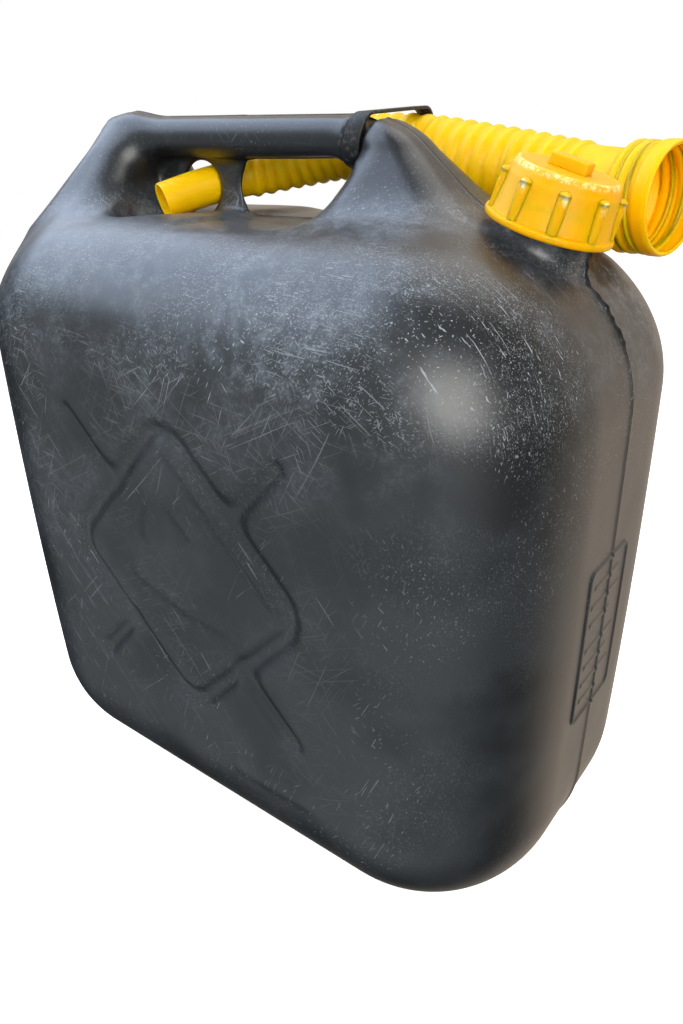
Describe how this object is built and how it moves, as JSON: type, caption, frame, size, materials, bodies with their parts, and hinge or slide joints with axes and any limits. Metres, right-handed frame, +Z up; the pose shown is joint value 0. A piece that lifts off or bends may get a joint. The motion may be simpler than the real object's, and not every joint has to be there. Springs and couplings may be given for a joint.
{
  "type": "fuel can with pouring spout",
  "caption": "Upright blow-moulded fuel can with a moulded carrying grip, a screw cap on a tilted neck, and a flexible pouring spout stowed behind the grip.",
  "frame": {"origin": "centre of the flat foot, on the parting plane of the mould", "axes": "+Z up, +X from the grip's closed end towards the filler neck, -Y the broad front face, +Y the side where the spout is stowed"},
  "size_m": [0.365, 0.217, 0.4048],
  "materials": {
    "can_black": "satin blow-moulded polyethylene, scuffed",
    "cap_yellow": "glossy injection-moulded polyethylene",
    "spout_yellow": "glossy flexible polyethylene",
    "strap_black": "dull moulded rubber",
    "gasket_black": "dull sheet rubber"
  },
  "bodies": {
    "can": {"can_body": "can_black", "spout_strap": "strap_black"},
    "cap_carrier": {"cap_gasket": "gasket_black"},
    "cap": {"screw_cap": "cap_yellow"},
    "spout_front": {"spout_nozzle": "spout_yellow", "spout_bellows_front": "spout_yellow", "spout_bellows_bend_back": "spout_yellow"},
    "spout_middle": {"spout_bellows_middle": "spout_yellow", "spout_bellows_bend_up": "spout_yellow"},
    "spout_mouth": {"spout_collar": "spout_yellow", "spout_gasket": "gasket_black"}
  },
  "joints": [
    {"name": "cap_lift", "type": "slide", "parent": "can", "child": "cap_carrier", "axis": [0.309, 0, 0.9511], "range_m": [0, 0.012]},
    {"name": "cap_turn", "type": "hinge", "parent": "cap_carrier", "child": "cap", "pos_m": [0.138, 0, 0.353], "axis": [0.309, 0, 0.9511], "range_deg": [0, 720]},
    {"name": "spout_draw", "type": "slide", "parent": "can", "child": "spout_front", "axis": [0.4395, 0.8681, 0.2308], "range_m": [0, 0.034], "deforming": ["spout_strap"]},
    {"name": "spout_bend_back", "type": "hinge", "parent": "spout_front", "child": "spout_middle", "pos_m": [0.0691, 0.0623, 0.3754], "axis": [0, 0, 1], "range_deg": [0, 25], "stiffness_Nm_per_rad": 0.6, "deforming": ["spout_bellows_bend_back"]},
    {"name": "spout_bend_up", "type": "hinge", "parent": "spout_middle", "child": "spout_mouth", "pos_m": [0.114, 0.0655, 0.366], "axis": [0, -1, 0], "range_deg": [0, 25], "stiffness_Nm_per_rad": 0.6, "deforming": ["spout_bellows_bend_up"]}
  ],
  "couplings": [
    {"joint": "cap_turn", "follows": "cap_lift", "rad_per_m": 1047.2}
  ]
}
